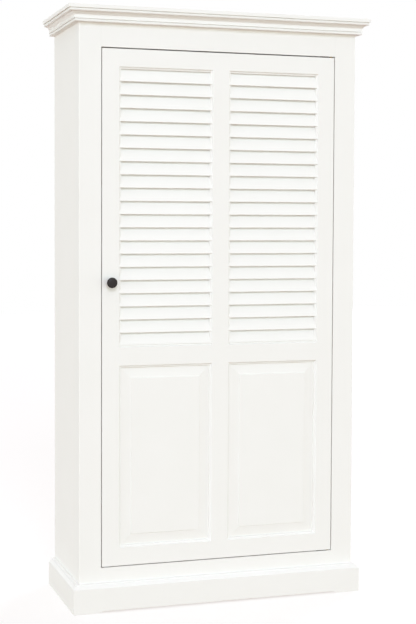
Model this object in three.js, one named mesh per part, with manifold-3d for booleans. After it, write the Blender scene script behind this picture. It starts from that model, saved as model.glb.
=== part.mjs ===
// Louvred door cabinet: a tall painted cupboard with a crown cornice, a face frame, a moulded plinth and one
// wide inset door. The door has two louvre banks over two raised and fielded panels and turns on knife hinges
// in its top and bottom edges. Four shelves stand on supports plugged into the sides.
// Millimetres, +Z up, the door faces -Y. The origin is on the floor at the centre of the footprint. Every
// piece is drawn with the door's face at y = 0, and the group that holds them all is moved to the origin.

import * as THREE from 'three';
import { mergeVertices } from 'three/addons/utils/BufferGeometryUtils.js';
import Module from 'manifold-3d';

const wasm = await Module();
wasm.setup();

// Case
const overall_height = 2000;
const case_width = 980;
const case_depth = 390;
const board_thickness = 18;
const back_thickness = 6;
const back_rabbet_width = 9;
const top_well_depth = 15;
const rear_foot_rail_thickness = 18;

// Face frame, with the door opening in it
const face_frame_thickness = 20;
const face_stile_width = 75;
const head_height = 130;
const foot_height = 146;
const bottom_face_rail_height = 86;

// Crown cornice: its outline from the case face outwards, bottom to top
const crown_height = 55.5;
const crown_projection = 41;
const crown_fillet_height = 11.7;
const crown_quirk_width = 6.4;
const crown_quirk_height = 4.8;
const crown_quirk_reach = 3.2;
const crown_ovolo_width = 8.8;
const crown_ovolo_height = 5.4;
const crown_step_width = 2;
const crown_cove_width = 7.5;
const crown_cove_height = 7.6;
const crown_fascia_height = 13.6;
const crown_fascia_slope = 0.9;
const crown_groove_height = 1.6;
const crown_bead_radius = 3.8;
const crown_bead_inset = 3.1;

// Plinth
const plinth_thickness = 22;
const plinth_face_height = 82.5;
const plinth_chamfer_width = 9.5;
const plinth_chamfer_height = 9;
const plinth_quirk_width = 2;
const plinth_bead_radius = 5;
const plinth_foot_length = 89;
const plinth_relief_height = 5.5;
const plinth_relief_slope_length = 12;

// Door frame
const door_gap = 3;
const door_head_gap = 4;
const door_thickness = 22;
const door_stile_face = 58;
const door_top_rail_face = 58;
const door_middle_rail_face = 60.5;
const door_bottom_rail_face = 60;
const panel_opening_height = 610.5;

// Moulded inner edge of the door frame
const edge_width = 8;
const edge_depth = 9;
const edge_chamfer_width = 2.8;
const edge_chamfer_depth = 4.2;
const edge_flat_width = 3;
const edge_flat_fall = 0.2;
const edge_lip = 0.3;

// Raised and fielded panels, each loose in a groove
const groove_setback = 9.5;
const groove_width = 4.6;
const groove_depth = 9;
const panel_edge_clearance = 0.5;
const panel_bevel_width = 34;
const panel_field_setback = 4.1;
const panel_shoulder = 1.8;

// Louvre banks
const slat_count = 21;
const slat_thickness = 6;
const slat_setback = 1;
const slat_tilt = THREE.MathUtils.degToRad(16);
const slat_overlap = 6;
const slat_edge_radius = 1.2;
const slat_foot_sink = 4.5;
const slat_head_rise = 2.8;
const strip_width = 7.5;

// Shelves and their supports
const shelf_count = 4;
const shelf_setback = 32;
const shelf_side_clearance = 1;
const shelf_back_clearance = 2;
const support_inset = 38;
const support_shank_diameter = 5;
const support_shank_length = 9;
const support_tab_length = 14;
const support_tab_width = 10;
const support_tab_thickness = 2;

// Knob and its bolt
const knob_diameter = 35;
const knob_base_diameter = 16;
const knob_neck_diameter = 11.6;
const knob_neck_height = 12;
const knob_projection = 27;
const knob_edge_height = 5;
const knob_ring_width = 3;
const knob_dome_height = 1.5;
const knob_height = 1096.5;
const knob_hole_depth = 14;
const bolt_diameter = 4;
const bolt_head_diameter = 9;
const bolt_head_height = 2.5;

// Knife hinges
const hinge_edge_distance = 10;
const hinge_face_distance = 7;
const hinge_pin_diameter = 6;
const hinge_pin_clearance = 0.1;
const leaf_length = 46;
const leaf_width = 10;
const leaf_thickness = 2.5;
const leaf_end_margin = 6;
const washer_diameter = 12;

// Magnetic catch behind the head of the door
const catch_inset = 60;
const catch_width = 40;
const catch_depth = 19;
const catch_hang = 24;
const catch_rise = 25;
const magnet_width = 26;
const magnet_height = 9;
const magnet_depth = 5;
const strike_width = 30;
const strike_height = 13;
const strike_thickness = 1.5;

// Fits: clearance round a piece let into another, and how far every cut runs past what it cuts
const fit_clearance = 0.3;
const cut_overrun = 5;
const circle_sides = 32;
const small_circle_sides = 16;
const arc_steps = 4;

// Places worked out from the sizes
const half_width = case_width / 2;
const half_inside = half_width - board_thickness;
const case_top = overall_height - top_well_depth;
const back_front_face = case_depth - back_thickness;
const opening_half = half_width - face_stile_width;
const opening_top = overall_height - head_height;
const opening_bottom = foot_height;
const inside_top = case_top - board_thickness;
const crown_bottom = overall_height - crown_height;
const door_half = opening_half - door_gap;
const door_top = opening_top - door_head_gap;
const door_bottom = opening_bottom + door_gap;
const stile_edge = door_half - door_stile_face;
const mullion_half = door_stile_face / 2;
const groove_back = groove_setback + groove_width;
const groove_reach = groove_depth - edge_width;
const edge_back = edge_depth + edge_lip;
const panel_opening_bottom = door_bottom + door_bottom_rail_face;
const panel_opening_top = panel_opening_bottom + panel_opening_height;
const louvre_opening_bottom = panel_opening_top + door_middle_rail_face;
const louvre_opening_top = door_top - door_top_rail_face;
const hinge_x = door_half - hinge_edge_distance;
const hinge_y = hinge_face_distance;
const knob_x = -(door_half - door_stile_face / 2);
const shelf_pitch = (inside_top - opening_bottom + board_thickness) / (shelf_count + 1);

// Materials
const paint = { color: 0xf5f4ef, roughness: 0.42, metalness: 0 };
const black_enamel = { color: 0x23201f, roughness: 0.35, metalness: 0 };
const steel = { color: 0xb9babb, roughness: 0.32, metalness: 1 };
const brass = { color: 0xb7995a, roughness: 0.3, metalness: 1 };
const white_plastic = { color: 0xe9e7e0, roughness: 0.5, metalness: 0 };
const magnet_black = { color: 0x2e2d2c, roughness: 0.6, metalness: 0 };

// The group is moved so that the crown's front edge and the back lie equally far from the origin.
const cabinet = new THREE.Group();
const pieces = new THREE.Group();
pieces.position.y = -(case_depth - crown_projection) / 2;
cabinet.add(pieces);

function addPiece(name, geometry, look) {
  const mesh = new THREE.Mesh(geometry, new THREE.MeshStandardMaterial(look));
  mesh.name = name;
  pieces.add(mesh);
}

// Solids and their joins and cuts
function solidOf(geometry) {
  const bare = geometry.clone();
  bare.deleteAttribute('normal');
  bare.deleteAttribute('uv');
  const merged = mergeVertices(bare);
  return new wasm.Manifold(
    new wasm.Mesh({
      numProp: 3,
      vertProperties: new Float32Array(merged.attributes.position.array),
      triVerts: new Uint32Array(merged.index.array),
    }),
  );
}

function geometryOf(solid) {
  const mesh = solid.getMesh();
  const geometry = new THREE.BufferGeometry();
  geometry.setAttribute('position', new THREE.BufferAttribute(mesh.vertProperties, mesh.numProp));
  geometry.setIndex(new THREE.BufferAttribute(mesh.triVerts, 1));
  geometry.computeVertexNormals();
  return geometry;
}

function join(first, ...others) {
  return geometryOf(others.reduce((whole, other) => whole.add(solidOf(other)), solidOf(first)));
}

function cut(body, ...cutters) {
  return geometryOf(cutters.reduce((rest, cutter) => rest.subtract(solidOf(cutter)), solidOf(body)));
}

// A box from its low and high places along x, y and z
function block(x, y, z) {
  const size = [x, y, z].map(([low, high]) => high - low);
  const middle = [x, y, z].map(([low, high]) => (low + high) / 2);
  return new THREE.BoxGeometry(...size).translate(...middle);
}

function cylinderAlong(axis, diameter, span, sides) {
  const cylinder = new THREE.CylinderGeometry(diameter / 2, diameter / 2, span[1] - span[0], sides);
  cylinder.translate(0, (span[0] + span[1]) / 2, 0);
  if (axis === 'x') cylinder.rotateZ(-Math.PI / 2);
  if (axis === 'z') cylinder.rotateX(Math.PI / 2);
  return cylinder;
}

// A turned piece: its outline of radius and height is spun round +Y
function turned(outline, sides) {
  const points = outline.map(([radius, height]) => new THREE.Vector2(radius, height));
  return new THREE.LatheGeometry(points, sides);
}

// Points of an elliptical arc, both ends included
function arc([middle_u, middle_v], [radius_u, radius_v], from_degrees, to_degrees) {
  return Array.from({ length: arc_steps + 1 }, (_, step) => {
    const angle = THREE.MathUtils.degToRad(
      from_degrees + ((to_degrees - from_degrees) * step) / arc_steps,
    );
    return [middle_u + radius_u * Math.cos(angle), middle_v + radius_v * Math.sin(angle)];
  });
}

function extruded(outline, length) {
  const shape = new THREE.Shape(outline.map(([u, v]) => new THREE.Vector2(u, v)));
  return new THREE.ExtrudeGeometry(shape, { depth: length, bevelEnabled: false });
}

// A length of moulding. Its outline has u away from the surface that it lies on and v along that surface. A
// mitre of 1 lengthens an end by u, of -1 shortens it by u, and 0 leaves it square.
function moulding(outline, length, mitres, start, u_axis, v_axis) {
  const geometry = extruded(outline, length);
  const place = geometry.attributes.position;
  for (let i = 0; i < place.count; i += 1) {
    const along = place.getZ(i);
    const reach = place.getX(i);
    place.setZ(i, along > length / 2 ? along + mitres[1] * reach : along - mitres[0] * reach);
  }
  const run_axis = new THREE.Vector3().crossVectors(u_axis, v_axis);
  const basis = new THREE.Matrix4().makeBasis(u_axis, v_axis, run_axis).setPosition(start);
  return geometry.applyMatrix4(basis);
}

const LEFT = new THREE.Vector3(-1, 0, 0);
const RIGHT = new THREE.Vector3(1, 0, 0);
const FRONT = new THREE.Vector3(0, -1, 0);
const UP = new THREE.Vector3(0, 0, 1);
const DOWN = new THREE.Vector3(0, 0, -1);

// Case boards
const side_height = [0, case_top];
const support_depths = [
  shelf_setback + support_inset,
  back_front_face - shelf_back_clearance - support_inset,
];

function shelfUnderside(index) {
  return opening_bottom + index * shelf_pitch - board_thickness;
}

function supportShank(side, depth, index, clearance) {
  const inner = half_inside;
  const outer = half_inside + support_shank_length + clearance;
  const span = side > 0 ? [inner - clearance, outer] : [-outer, -inner + clearance];
  const diameter = support_shank_diameter + 2 * clearance;
  const height = shelfUnderside(index) - support_tab_thickness / 2;
  return cylinderAlong('x', diameter, span, small_circle_sides).translate(0, depth, height);
}

function addSide(name, side) {
  const rabbet = half_inside + back_rabbet_width;
  const plan = [
    [side * half_inside, face_frame_thickness],
    [side * half_width, face_frame_thickness],
    [side * half_width, case_depth],
    [side * rabbet, case_depth],
    [side * rabbet, back_front_face],
    [side * half_inside, back_front_face],
  ];
  const board = extruded(plan, case_top);
  const holes = [];
  for (let index = 1; index <= shelf_count; index += 1) {
    for (const depth of support_depths) holes.push(supportShank(side, depth, index, fit_clearance));
  }
  addPiece(name, cut(board, ...holes), paint);
}

function addCaseBoards() {
  const inside = [-half_inside, half_inside];
  const board_depth = [face_frame_thickness, back_front_face];
  const rail_depth = [back_front_face - rear_foot_rail_thickness, back_front_face];
  const bottom = [opening_bottom - board_thickness, opening_bottom];
  const back_half = half_inside + back_rabbet_width - fit_clearance;
  addSide('side_panel_left', -1);
  addSide('side_panel_right', 1);
  addPiece('top_panel', block(inside, board_depth, [inside_top, case_top]), paint);
  addPiece('bottom_panel', block(inside, board_depth, bottom), paint);
  addPiece('rear_foot_rail', block(inside, rail_depth, [0, bottom[0]]), paint);
  const back_height = [bottom[0], case_top];
  addPiece('back_panel', block([-back_half, back_half], [back_front_face, case_depth], back_height), paint);
}

// Face frame. Its rails are let in for the frame leaves of the hinges.
function addFaceFrame() {
  const depth = [0, face_frame_thickness];
  const between = [-opening_half, opening_half];
  const top_rail = block(between, depth, [opening_top, case_top]);
  const bottom_rail = block(between, depth, [opening_bottom - bottom_face_rail_height, opening_bottom]);
  addPiece('face_stile_left', block([-half_width, -opening_half], depth, side_height), paint);
  addPiece('face_stile_right', block([opening_half, half_width], depth, side_height), paint);
  addPiece('face_rail_top', cut(top_rail, leafPocket(opening_top, 1)), paint);
  addPiece('face_rail_bottom', cut(bottom_rail, leafPocket(opening_bottom, -1)), paint);
}

// Crown cornice
function crownOutline() {
  const bead_u = crown_bead_inset + crown_cove_width + crown_bead_radius;
  const bead_top = crown_height - crown_fillet_height - crown_quirk_height - crown_ovolo_height
    - crown_cove_height - crown_fascia_height - crown_groove_height;
  const fascia_bottom = bead_top + crown_groove_height;
  const cove_bottom = fascia_bottom + crown_fascia_height;
  const cove_top = cove_bottom + crown_cove_height;
  const ovolo_middle = cove_top + crown_ovolo_height;
  const fillet_bottom = ovolo_middle + crown_quirk_height;
  const quirk_u = crown_projection - crown_quirk_width;
  const ovolo_u = quirk_u + crown_quirk_reach - crown_ovolo_width;
  const cove_u = ovolo_u - crown_step_width;
  const fascia_u = cove_u - crown_cove_width;
  const bead_middle = bead_top - crown_bead_radius;
  return [
    [0, 0],
    ...arc([bead_u, bead_middle], [crown_bead_radius, crown_bead_radius], -90, 90),
    [fascia_u - crown_fascia_slope, fascia_bottom],
    ...arc([cove_u, cove_bottom], [crown_cove_width, crown_cove_height], 180, 90),
    ...arc([ovolo_u, ovolo_middle], [crown_ovolo_width, crown_ovolo_height], -90, 0),
    [quirk_u, fillet_bottom],
    [crown_projection, fillet_bottom],
    [crown_projection, crown_height],
    [0, crown_height],
  ];
}

// Three lengths of one moulding round the front and the sides, mitred at the front corners with a clearance
function addMouldingRound(names, outline, bottom, finish) {
  const return_length = case_depth - fit_clearance;
  const front_start = new THREE.Vector3(half_width, 0, bottom);
  const left_start = new THREE.Vector3(-half_width, fit_clearance, bottom);
  const right_start = new THREE.Vector3(half_width, case_depth, bottom);
  const front = moulding(outline, case_width, [1, 1], front_start, FRONT, UP);
  addPiece(names[0], finish(front), paint);
  addPiece(names[1], moulding(outline, return_length, [1, 0], left_start, LEFT, UP), paint);
  addPiece(names[2], moulding(outline, return_length, [0, 1], right_start, RIGHT, UP), paint);
}

// Plinth, with a shallow relief between the feet of its front board
function plinthOutline() {
  const chamfer_u = plinth_thickness - plinth_chamfer_width;
  const chamfer_top = plinth_face_height + plinth_chamfer_height;
  const bead_u = chamfer_u - plinth_quirk_width - plinth_bead_radius;
  return [
    [0, 0],
    [plinth_thickness, 0],
    [plinth_thickness, plinth_face_height],
    [chamfer_u, chamfer_top],
    ...arc([bead_u, chamfer_top], [plinth_bead_radius, plinth_bead_radius], 0, 90),
    [0, chamfer_top + plinth_bead_radius],
  ];
}

function plinthRelief() {
  const foot_end = half_width + plinth_thickness - plinth_foot_length;
  const slope_end = foot_end - plinth_relief_slope_length;
  const outline = [
    [-foot_end, -cut_overrun],
    [foot_end, -cut_overrun],
    [foot_end, 0],
    [slope_end, plinth_relief_height],
    [-slope_end, plinth_relief_height],
    [-foot_end, 0],
  ];
  const relief = extruded(outline, plinth_thickness + 2 * cut_overrun);
  return relief.rotateX(Math.PI / 2).translate(0, cut_overrun, 0);
}

// Openings of the door, each as its x and z limits, and the moulded edge on each side of one
const openings = {
  louvre_left: { x: [-stile_edge, -mullion_half], z: [louvre_opening_bottom, louvre_opening_top] },
  louvre_right: { x: [mullion_half, stile_edge], z: [louvre_opening_bottom, louvre_opening_top] },
  panel_left: { x: [-stile_edge, -mullion_half], z: [panel_opening_bottom, panel_opening_top] },
  panel_right: { x: [mullion_half, stile_edge], z: [panel_opening_bottom, panel_opening_top] },
};

// The moulded edge: a chamfer, a narrow flat and a round, then straight back. v is minus the depth. Round a
// louvre bank it is only a lip, and the bank lies in the rebate behind it.
function edgeOutline(back) {
  const round_u = edge_chamfer_width + edge_flat_width;
  const round_v = -(edge_chamfer_depth + edge_flat_fall);
  const round_size = [edge_width - round_u, edge_depth + round_v];
  return [
    [0, 0],
    [edge_chamfer_width, -edge_chamfer_depth],
    ...arc([round_u, -edge_depth], round_size, 90, 0),
    [edge_width, -back],
    [0, -back],
  ];
}

function mouldedEdge(name, side) {
  const { x, z } = openings[name];
  const outline = edgeOutline(name.startsWith('louvre') ? edge_back : door_thickness);
  const width = x[1] - x[0];
  const height = z[1] - z[0];
  const ends = [-1, -1];
  if (side === 'bottom') {
    return moulding(outline, width, ends, new THREE.Vector3(x[0], 0, z[0]), UP, FRONT);
  }
  if (side === 'top') {
    return moulding(outline, width, ends, new THREE.Vector3(x[1], 0, z[1]), DOWN, FRONT);
  }
  if (side === 'right') {
    return moulding(outline, height, ends, new THREE.Vector3(x[1], 0, z[0]), LEFT, FRONT);
  }
  return moulding(outline, height, ends, new THREE.Vector3(x[0], 0, z[1]), RIGHT, FRONT);
}

function panelGroove(name) {
  const { x, z } = openings[name];
  return block(
    [x[0] - groove_reach, x[1] + groove_reach],
    [groove_setback, groove_back],
    [z[0] - groove_reach, z[1] + groove_reach],
  );
}

function doorMember(x, z, edges) {
  const board = block(x, [0, door_thickness], z);
  const moulded = join(board, ...edges.map(([name, side]) => mouldedEdge(name, side)));
  const grooved = edges.map(([name]) => name).filter((name) => name.startsWith('panel'));
  return grooved.length ? cut(moulded, ...grooved.map(panelGroove)) : moulded;
}

function addDoorFrame() {
  const height = [door_bottom, door_top];
  const between = [-stile_edge, stile_edge];
  const mullion = [-mullion_half, mullion_half];
  const left = doorMember([-door_half, -stile_edge], height, [
    ['louvre_left', 'left'],
    ['panel_left', 'left'],
  ]);
  const right = doorMember([stile_edge, door_half], height, [
    ['louvre_right', 'right'],
    ['panel_right', 'right'],
  ]);
  const top = doorMember(between, [louvre_opening_top, door_top], [
    ['louvre_left', 'top'],
    ['louvre_right', 'top'],
  ]);
  const middle = doorMember(between, [panel_opening_top, louvre_opening_bottom], [
    ['louvre_left', 'bottom'],
    ['louvre_right', 'bottom'],
    ['panel_left', 'top'],
    ['panel_right', 'top'],
  ]);
  const bottom = doorMember(between, [door_bottom, panel_opening_bottom], [
    ['panel_left', 'bottom'],
    ['panel_right', 'bottom'],
  ]);
  const upper_mullion = doorMember(mullion, [louvre_opening_bottom, louvre_opening_top], [
    ['louvre_left', 'right'],
    ['louvre_right', 'left'],
  ]);
  const lower_mullion = doorMember(mullion, [panel_opening_bottom, panel_opening_top], [
    ['panel_left', 'right'],
    ['panel_right', 'left'],
  ]);
  addPiece('door_stile_left', cut(left, boltHole()), paint);
  addPiece('door_stile_right', cut(right, leafPocket(door_top, -1), leafPocket(door_bottom, 1)), paint);
  addPiece('door_rail_top', top, paint);
  addPiece('door_rail_middle', middle, paint);
  addPiece('door_rail_bottom', bottom, paint);
  addPiece('door_mullion_upper', upper_mullion, paint);
  addPiece('door_mullion_lower', lower_mullion, paint);
}

// A raised and fielded panel: a tongue all round, a bevel, and a field on a low shoulder
function addRaisedPanel(name, opening) {
  const { x, z } = openings[opening];
  const reach = groove_reach - panel_edge_clearance;
  const tongue_depth = [groove_setback + fit_clearance, groove_back - fit_clearance];
  const middle_x = (x[0] + x[1]) / 2;
  const middle_z = (z[0] + z[1]) / 2;
  const foot = [x[1] - x[0] - 2 * edge_width, z[1] - z[0] - 2 * edge_width];
  const field = foot.map((size) => size - 2 * panel_bevel_width);
  const bevel_front = panel_field_setback + panel_shoulder;
  const bevel_middle = (bevel_front + tongue_depth[1]) / 2;
  const bevel = new THREE.BoxGeometry(foot[0], tongue_depth[1] - bevel_front, foot[1]);
  bevel.translate(0, bevel_middle, 0);
  const place = bevel.attributes.position;
  for (let i = 0; i < place.count; i += 1) {
    if (place.getY(i) < bevel_middle) {
      place.setX(i, (Math.sign(place.getX(i)) * field[0]) / 2);
      place.setZ(i, (Math.sign(place.getZ(i)) * field[1]) / 2);
    } else {
      place.setY(i, tongue_depth[0]);
    }
  }
  bevel.translate(middle_x, 0, middle_z);
  const tongue = block([x[0] - reach, x[1] + reach], tongue_depth, [z[0] - reach, z[1] + reach]);
  const raised = block(
    [middle_x - field[0] / 2, middle_x + field[0] / 2],
    [panel_field_setback, tongue_depth[0]],
    [middle_z - field[1] / 2, middle_z + field[1] / 2],
  );
  addPiece(name, join(tongue, bevel, raised), paint);
}

// A louvre bank: slats with rounded edges housed in two side strips. Each slat leans back towards its top,
// and its foot hangs in front of the head of the slat below.
function slatOutline(pitch) {
  const length = (pitch + slat_overlap) / Math.cos(slat_tilt);
  const low = slat_edge_radius;
  const high_u = slat_thickness - slat_edge_radius;
  const high_v = length - slat_edge_radius;
  const round = [slat_edge_radius, slat_edge_radius];
  return [
    ...arc([low, low], round, 180, 270),
    ...arc([high_u, low], round, 270, 360),
    ...arc([high_u, high_v], round, 0, 90),
    ...arc([low, high_v], round, 90, 180),
  ];
}

function addLouvreBank(name, opening) {
  const { x, z } = openings[opening];
  const inner_bottom = z[0] + edge_width;
  const inner_top = z[1] - edge_width;
  const pitch = (inner_top + slat_head_rise - inner_bottom + slat_foot_sink) / slat_count;
  const across = [x[0] + fit_clearance, x[1] - fit_clearance];
  const upright = [z[0] + fit_clearance, z[1] - fit_clearance];
  const behind_edge = edge_back + fit_clearance;
  const depth = [behind_edge, door_thickness];
  const round_lift = slat_edge_radius * (1 - Math.cos(slat_tilt));
  const foot_lift = round_lift + (slat_thickness - slat_edge_radius) * Math.sin(slat_tilt);
  const strips = [
    block([across[0], across[0] + strip_width], depth, upright),
    block([across[1] - strip_width, across[1]], depth, upright),
  ];
  const slats = Array.from({ length: slat_count }, (_, index) => {
    const slat = extruded(slatOutline(pitch), across[1] - across[0]);
    const foot = inner_bottom - slat_foot_sink + index * pitch + foot_lift;
    slat.applyMatrix4(new THREE.Matrix4().makeBasis(FRONT.clone().negate(), UP, RIGHT));
    slat.rotateX(-slat_tilt);
    return slat.translate(across[0], slat_setback, foot);
  });
  const lip = edge_width + fit_clearance;
  const front = [-cut_overrun, behind_edge];
  const all_x = [x[0] - cut_overrun, x[1] + cut_overrun];
  const all_z = [z[0] - cut_overrun, z[1] + cut_overrun];
  const whole_depth = [-cut_overrun, door_thickness + cut_overrun];
  const frame_edges = [
    block([all_x[0], x[0] + lip], front, all_z),
    block([x[1] - lip, all_x[1]], front, all_z),
    block(all_x, front, [all_z[0], z[0] + lip]),
    block(all_x, front, [z[1] - lip, all_z[1]]),
    block(all_x, whole_depth, [all_z[0], upright[0]]),
    block(all_x, whole_depth, [upright[1], all_z[1]]),
  ];
  addPiece(name, cut(join(...strips, ...slats), ...frame_edges), paint);
}

// Shelves and their supports: a shank in the side and a tab under the shelf
function addShelves() {
  const half = half_inside - shelf_side_clearance;
  const depth = [shelf_setback, back_front_face - shelf_back_clearance];
  const corners = [
    ['left_front', -1, support_depths[0]],
    ['left_rear', -1, support_depths[1]],
    ['right_front', 1, support_depths[0]],
    ['right_rear', 1, support_depths[1]],
  ];
  for (let index = 1; index <= shelf_count; index += 1) {
    const underside = shelfUnderside(index);
    addPiece(`shelf_${index}`, block([-half, half], depth, [underside, underside + board_thickness]), paint);
    for (const [corner, side, y] of corners) {
      const tab_x = [half_inside - support_tab_length, half_inside].map((x) => side * x);
      const tab = block(
        tab_x.sort((a, b) => a - b),
        [y - support_tab_width / 2, y + support_tab_width / 2],
        [underside - support_tab_thickness, underside],
      );
      addPiece(`shelf_support_${index}_${corner}`, join(tab, supportShank(side, y, index, 0)), steel);
    }
  }
}

// Knob, turned, with a blind hole for its bolt, which passes through the door stile
function boltHole() {
  const span = [-cut_overrun, door_thickness + cut_overrun];
  const diameter = bolt_diameter + 2 * fit_clearance;
  return cylinderAlong('y', diameter, span, small_circle_sides).translate(knob_x, 0, knob_height);
}

function addKnob() {
  const hole_radius = bolt_diameter / 2 + fit_clearance;
  const face = knob_projection - knob_dome_height;
  const rim = face - knob_edge_height;
  const neck_radius = knob_neck_diameter / 2;
  const radius = knob_diameter / 2;
  const outline = [
    [0, knob_hole_depth],
    [hole_radius, knob_hole_depth],
    [hole_radius, 0],
    [knob_base_diameter / 2, 0],
    [neck_radius, knob_neck_height / 2],
    ...arc([neck_radius, rim], [radius - neck_radius, rim - knob_neck_height], -90, 0),
    [radius, face - knob_dome_height],
    [radius - knob_dome_height, face],
    ...arc([0, face], [radius - knob_ring_width, knob_dome_height], 0, 90).slice(0, -1),
    [0, knob_projection],
  ];
  const knob = turned(outline, circle_sides).rotateX(Math.PI);
  addPiece('knob', knob.translate(knob_x, 0, knob_height), black_enamel);
  const bolt = turned(
    [
      [0, fit_clearance - knob_hole_depth],
      [bolt_diameter / 2, fit_clearance - knob_hole_depth],
      [bolt_diameter / 2, door_thickness],
      [bolt_head_diameter / 2, door_thickness],
      [bolt_diameter / 2, door_thickness + bolt_head_height],
      [0, door_thickness + bolt_head_height],
    ],
    small_circle_sides,
  );
  addPiece('knob_bolt', bolt.translate(knob_x, 0, knob_height), steel);
}

// Knife hinges. A face is where a leaf lies flush, and into is +1 where the leaf lies above it, -1 below.
const leaf_span_x = [hinge_x + leaf_end_margin - leaf_length, hinge_x + leaf_end_margin];
const leaf_span_y = [hinge_y - leaf_width / 2, hinge_y + leaf_width / 2];

function leafPlate(face, into) {
  const span_z = [face, face + into * leaf_thickness].sort((a, b) => a - b);
  return block(leaf_span_x, leaf_span_y, span_z);
}

function leafPocket(face, into) {
  const loose = ([low, high]) => [low - fit_clearance, high + fit_clearance];
  const span_z = [face - into * cut_overrun, face + into * (leaf_thickness + fit_clearance)];
  return block(loose(leaf_span_x), loose(leaf_span_y), span_z.sort((a, b) => a - b));
}

function addKnifeHinge(end, rail_face, door_face) {
  const into_rail = Math.sign(rail_face - door_face);
  const pin_end = door_face - into_rail * (leaf_thickness - fit_clearance);
  const pin_span = [rail_face + into_rail * leaf_thickness, pin_end].sort((a, b) => a - b);
  const pin = cylinderAlong('z', hinge_pin_diameter, pin_span, circle_sides);
  const hole_span = [door_face - cut_overrun, door_face + cut_overrun];
  const hole_diameter = hinge_pin_diameter + 2 * hinge_pin_clearance;
  const hole = cylinderAlong('z', hole_diameter, hole_span, circle_sides);
  pin.translate(hinge_x, hinge_y, 0);
  hole.translate(hinge_x, hinge_y, 0);
  addPiece(`hinge_${end}_frame_leaf`, join(leafPlate(rail_face, into_rail), pin), brass);
  addPiece(`hinge_${end}_door_leaf`, cut(leafPlate(door_face, -into_rail), hole), brass);
  const washer_span = [door_face + into_rail * fit_clearance, rail_face - into_rail * fit_clearance];
  washer_span.sort((a, b) => a - b);
  const washer = turned(
    [
      [hole_diameter / 2, washer_span[0]],
      [washer_diameter / 2, washer_span[0]],
      [washer_diameter / 2, washer_span[1]],
      [hole_diameter / 2, washer_span[1]],
      [hole_diameter / 2, washer_span[0]],
    ],
    circle_sides,
  );
  washer.rotateX(Math.PI / 2).translate(hinge_x, hinge_y, 0);
  addPiece(`hinge_${end}_washer`, washer, brass);
}

// Magnetic catch: a housing on the back of the top face rail, which also stops the door, and a strike plate
// on the door
function addCatch() {
  const middle = -(stile_edge - catch_inset);
  const span = (width) => [middle - width / 2, middle + width / 2];
  const strike_face = door_thickness + strike_thickness;
  const housing_front = strike_face + fit_clearance;
  const housing_back = face_frame_thickness + catch_depth;
  const bottom = opening_top - catch_hang;
  const step = opening_top + fit_clearance;
  const strike_middle = bottom + (catch_hang - door_head_gap) / 2;
  const body = join(
    block(span(catch_width), [housing_front, housing_back], [bottom, step]),
    block(span(catch_width), [face_frame_thickness, housing_back], [step, opening_top + catch_rise]),
  );
  const magnet_z = [strike_middle - magnet_height / 2, strike_middle + magnet_height / 2];
  const pocket = block(
    span(magnet_width + 2 * fit_clearance),
    [housing_front - cut_overrun, housing_front + magnet_depth + fit_clearance],
    [magnet_z[0] - fit_clearance, magnet_z[1] + fit_clearance],
  );
  const magnet = block(span(magnet_width), [housing_front, housing_front + magnet_depth], magnet_z);
  const strike_z = [strike_middle - strike_height / 2, strike_middle + strike_height / 2];
  const strike = block(span(strike_width), [door_thickness, strike_face], strike_z);
  addPiece('catch_housing', cut(body, pocket), white_plastic);
  addPiece('catch_magnet', magnet, magnet_black);
  addPiece('catch_strike', strike, steel);
}

addCaseBoards();
addFaceFrame();
addMouldingRound(
  ['crown_front', 'crown_left', 'crown_right'],
  crownOutline(),
  crown_bottom,
  (front) => front,
);
addMouldingRound(
  ['plinth_front', 'plinth_left', 'plinth_right'],
  plinthOutline(),
  0,
  (front) => cut(front, plinthRelief()),
);
addDoorFrame();
addRaisedPanel('panel_left', 'panel_left');
addRaisedPanel('panel_right', 'panel_right');
addLouvreBank('louvre_bank_left', 'louvre_left');
addLouvreBank('louvre_bank_right', 'louvre_right');
addShelves();
addKnob();
addKnifeHinge('top', opening_top, door_top);
addKnifeHinge('bottom', opening_bottom, door_bottom);
addCatch();

export default cabinet;
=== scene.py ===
# Louvred door cabinet, finished for the camera: mouldings, louvres, panels, knob and hardware in full, each
# on the body that carries it, with a floor, soft studio light and the camera.
import math

import bmesh
import bpy
from mathutils import Matrix, Vector


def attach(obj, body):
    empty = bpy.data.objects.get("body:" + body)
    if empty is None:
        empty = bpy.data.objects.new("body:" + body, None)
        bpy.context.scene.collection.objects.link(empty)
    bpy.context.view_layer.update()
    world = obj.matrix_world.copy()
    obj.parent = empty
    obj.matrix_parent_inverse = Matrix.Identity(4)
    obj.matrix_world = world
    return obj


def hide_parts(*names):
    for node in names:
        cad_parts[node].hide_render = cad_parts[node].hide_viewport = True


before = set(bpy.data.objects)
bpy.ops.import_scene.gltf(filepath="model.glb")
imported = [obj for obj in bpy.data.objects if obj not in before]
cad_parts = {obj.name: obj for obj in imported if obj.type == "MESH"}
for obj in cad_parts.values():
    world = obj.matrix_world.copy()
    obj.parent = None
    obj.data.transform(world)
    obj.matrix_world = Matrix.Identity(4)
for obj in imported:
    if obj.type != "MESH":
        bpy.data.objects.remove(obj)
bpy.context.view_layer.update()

# Sizes in millimetres: x across from the middle, y back from the door's face, z up from the floor
CASE_HALF = 490
CASE_DEPTH = 390
HEIGHT = 2000
FACE_FRAME = 20
OPENING_HALF = 415
OPENING = (146, 1870)
CROWN_PROJECTION = 41
CROWN_HEIGHT = 55.5
DOOR_HALF = 412
DOOR = (149, 1866)
DOOR_THICK = 22
STILE_EDGE = 354
MULLION_HALF = 29
PANEL_ZONE = (209, 819.5)
LOUVRE_ZONE = (880, 1808)
# How far the moulded edge and the lips stand into an opening, and the clearance of what is let in behind
EDGE_REACH = 8
FIT = 0.3

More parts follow.
